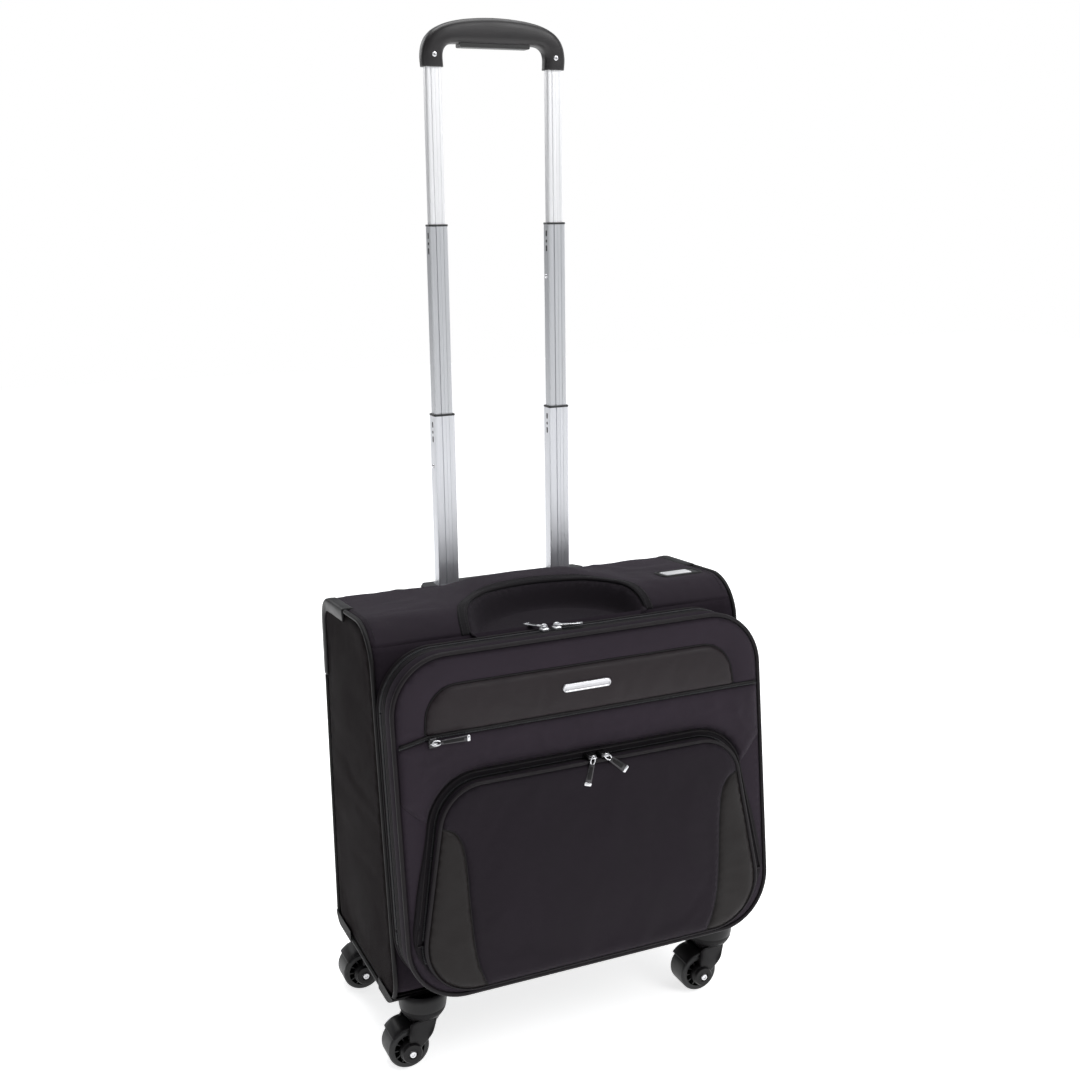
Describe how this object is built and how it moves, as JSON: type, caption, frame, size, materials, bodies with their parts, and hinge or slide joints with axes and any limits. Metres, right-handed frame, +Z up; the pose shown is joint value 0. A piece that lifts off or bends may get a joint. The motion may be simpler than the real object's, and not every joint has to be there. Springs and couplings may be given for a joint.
{
  "type": "pilot rolling case",
  "caption": "Soft-sided pilot rolling case with a zipped front lid, outside pocket, telescopic trolley handle and swivel casters.",
  "frame": {"origin": "middle of the footprint on the floor, under the case", "axes": "+Z up, +Y towards the back where the trolley poles stand, +X to the right hand of someone facing the back from the lid side"},
  "size_m": [0.4168, 0.2578, 1.031],
  "materials": {
    "base_plastic": "fine textured board",
    "shell_fabric": "coarse plain weave",
    "top_fabric": "coarse plain weave",
    "piping": "coated cord, satin",
    "guard_plastic": "satin moulded",
    "lining": "thin woven lining",
    "recess_fabric": "smooth weave",
    "hem_tape": "ribbed tape, double stitched",
    "handle_fabric": "padded weave",
    "label_plate": "satin plate",
    "bezel_plastic": "satin moulded",
    "outer_tube_metal": "satin drawn",
    "bracket_plastic": "moulded",
    "zip_tape": "herringbone tape with fine coil",
    "stage_1_metal": "satin drawn",
    "stage_2_metal": "satin drawn",
    "stage_3_metal": "satin drawn",
    "collar_plastic": "satin moulded",
    "grip_plastic": "fine grain",
    "screw_steel": "satin",
    "button_plastic": "satin",
    "gusset_fabric": "coarse plain weave",
    "lid_fabric": "coarse plain weave",
    "lid_piping": "coated cord, satin",
    "inset_pu": "pebbled coated leather",
    "badge_metal": "satin",
    "pocket_fabric": "coarse plain weave",
    "patch_pu": "pebbled coated leather",
    "caster_plastic": "satin moulded",
    "wheel_rubber": "semi-matt",
    "zip_metal": "gunmetal"
  },
  "bodies": {
    "case": {"base_tray": "base_plastic", "back_panel": "shell_fabric", "front_frame": "shell_fabric", "top_panel": "top_fabric", "side_panel_left": "shell_fabric", "side_panel_right": "shell_fabric", "side_piping": "piping", "corner_guards": "guard_plastic", "back_lining": "lining", "handle_recess": "recess_fabric", "handle_hem": "hem_tape", "carry_handle": "handle_fabric", "id_label": "label_plate", "trolley_bezel": "bezel_plastic", "outer_tubes": "outer_tube_metal", "tube_brackets": "bracket_plastic", "body_zip_tape": "zip_tape", "caster_housing_front_left": "caster_plastic", "caster_housing_front_right": "caster_plastic", "caster_housing_rear_left": "caster_plastic", "caster_housing_rear_right": "caster_plastic"},
    "stage_1": {"stage_1_tubes": "stage_1_metal", "stage_1_collars": "collar_plastic"},
    "stage_2": {"stage_2_tubes": "stage_2_metal", "stage_2_collars": "collar_plastic"},
    "stage_3": {"stage_3_tubes": "stage_3_metal", "grip_front": "grip_plastic", "grip_rear": "grip_plastic", "grip_screws": "screw_steel"},
    "release": {"release_button": "button_plastic"},
    "lid": {"lid_zip_tape": "zip_tape", "lid_gusset": "gusset_fabric", "lid_panel": "lid_fabric", "lid_piping": "lid_piping", "inset_panel": "inset_pu", "badge": "badge_metal", "slip_pocket_panel": "lid_fabric", "slip_pocket_zip": "zip_tape", "pocket_zip_tape": "zip_tape"},
    "flap": {"pocket_flap": "pocket_fabric", "pocket_piping": "lid_piping", "corner_patches": "patch_pu"},
    "fork_front_left": {"caster_fork_front_left": "caster_plastic"},
    "wheel_front_left": {"caster_wheel_front_left": "wheel_rubber"},
    "fork_front_right": {"caster_fork_front_right": "caster_plastic"},
    "wheel_front_right": {"caster_wheel_front_right": "wheel_rubber"},
    "fork_rear_left": {"caster_fork_rear_left": "caster_plastic"},
    "wheel_rear_left": {"caster_wheel_rear_left": "wheel_rubber"},
    "fork_rear_right": {"caster_fork_rear_right": "caster_plastic"},
    "wheel_rear_right": {"caster_wheel_rear_right": "wheel_rubber"},
    "slider_main_left": {"slider_main_left": "zip_metal"},
    "puller_main_left": {"puller_main_left": "zip_metal"},
    "slider_main_right": {"slider_main_right": "zip_metal"},
    "puller_main_right": {"puller_main_right": "zip_metal"},
    "slider_pocket_left": {"slider_pocket_left": "zip_metal"},
    "puller_pocket_left": {"puller_pocket_left": "zip_metal"},
    "slider_pocket_right": {"slider_pocket_right": "zip_metal"},
    "puller_pocket_right": {"puller_pocket_right": "zip_metal"},
    "slider_slip_pocket": {"slider_slip_pocket": "zip_metal"},
    "puller_slip_pocket": {"puller_slip_pocket": "zip_metal"}
  },
  "joints": [
    {"name": "stage_1_slide", "type": "slide", "parent": "case", "child": "stage_1", "axis": [0, 0, 1], "range_m": [-0.179, 0]},
    {"name": "stage_2_slide", "type": "slide", "parent": "stage_1", "child": "stage_2", "axis": [0, 0, 1], "range_m": [-0.1885, 0]},
    {"name": "stage_3_slide", "type": "slide", "parent": "stage_2", "child": "stage_3", "axis": [0, 0, 1], "range_m": [-0.153, 0]},
    {"name": "release_press", "type": "slide", "parent": "stage_3", "child": "release", "axis": [0, 0, 1], "range_m": [0, 0.004], "stiffness_N_per_m": 400, "springref_m": -0.001},
    {"name": "swivel_front_left", "type": "hinge", "parent": "case", "child": "fork_front_left", "pos_m": [-0.168, -0.058, 0.06], "axis": [0, 0, 1], "continuous": true},
    {"name": "spin_front_left", "type": "hinge", "parent": "fork_front_left", "child": "wheel_front_left", "pos_m": [-0.188, -0.058, 0.0215], "axis": [0, 1, 0], "continuous": true},
    {"name": "swivel_front_right", "type": "hinge", "parent": "case", "child": "fork_front_right", "pos_m": [0.168, -0.058, 0.06], "axis": [0, 0, 1], "continuous": true},
    {"name": "spin_front_right", "type": "hinge", "parent": "fork_front_right", "child": "wheel_front_right", "pos_m": [0.148, -0.058, 0.0215], "axis": [0, 1, 0], "continuous": true},
    {"name": "swivel_rear_left", "type": "hinge", "parent": "case", "child": "fork_rear_left", "pos_m": [-0.168, 0.102, 0.06], "axis": [0, 0, 1], "continuous": true},
    {"name": "spin_rear_left", "type": "hinge", "parent": "fork_rear_left", "child": "wheel_rear_left", "pos_m": [-0.188, 0.102, 0.0215], "axis": [0, 1, 0], "continuous": true},
    {"name": "swivel_rear_right", "type": "hinge", "parent": "case", "child": "fork_rear_right", "pos_m": [0.168, 0.102, 0.06], "axis": [0, 0, 1], "continuous": true},
    {"name": "spin_rear_right", "type": "hinge", "parent": "fork_rear_right", "child": "wheel_rear_right", "pos_m": [0.148, 0.102, 0.0215], "axis": [0, 1, 0], "continuous": true},
    {"name": "lid_hinge", "type": "hinge", "parent": "case", "child": "lid", "pos_m": [0, -0.09016, 0.09702], "axis": [1, 0, 0], "range_deg": [0, 80]},
    {"name": "flap_hinge", "type": "hinge", "parent": "lid", "child": "flap", "pos_m": [0, -0.12356, 0.10437], "axis": [1, 0, 0], "range_deg": [0, 25]},
    {"name": "main_left_zip", "type": "slide", "parent": "case", "child": "slider_main_left", "axis": [1, 0, 0], "range_m": [-0.05, 0]},
    {"name": "main_right_zip", "type": "slide", "parent": "case", "child": "slider_main_right", "axis": [1, 0, 0], "range_m": [0, 0.15]},
    {"name": "pocket_left_zip", "type": "slide", "parent": "flap", "child": "slider_pocket_left", "axis": [1, 0, 0], "range_m": [-0.1, 0]},
    {"name": "pocket_right_zip", "type": "slide", "parent": "flap", "child": "slider_pocket_right", "axis": [1, 0, 0], "range_m": [0, 0.1]},
    {"name": "slip_pocket_zip_run", "type": "slide", "parent": "lid", "child": "slider_slip_pocket", "axis": [1, 0, 0], "range_m": [0, 0.32]},
    {"name": "main_left_tab", "type": "hinge", "parent": "slider_main_left", "child": "puller_main_left", "pos_m": [-0.026, -0.05298, 0.43931], "axis": [0, 0.108, 0.9942], "range_deg": [-35, 60]},
    {"name": "main_right_tab", "type": "hinge", "parent": "slider_main_right", "child": "puller_main_right", "pos_m": [-0.012, -0.05298, 0.43931], "axis": [0, 0.108, 0.9942], "range_deg": [-60, 35]},
    {"name": "pocket_left_tab", "type": "hinge", "parent": "slider_pocket_left", "child": "puller_pocket_left", "pos_m": [-0.003, -0.11712, 0.31923], "axis": [0, -0.9942, 0.108], "range_deg": [-60, 12]},
    {"name": "pocket_right_tab", "type": "hinge", "parent": "slider_pocket_right", "child": "puller_pocket_right", "pos_m": [0.011, -0.11712, 0.31923], "axis": [0, -0.9942, 0.108], "range_deg": [-12, 35]},
    {"name": "slip_pocket_tab", "type": "hinge", "parent": "slider_slip_pocket", "child": "puller_slip_pocket", "pos_m": [-0.163, -0.10393, 0.35733], "axis": [0, -0.9942, 0.108], "range_deg": [-90, 0]}
  ]
}
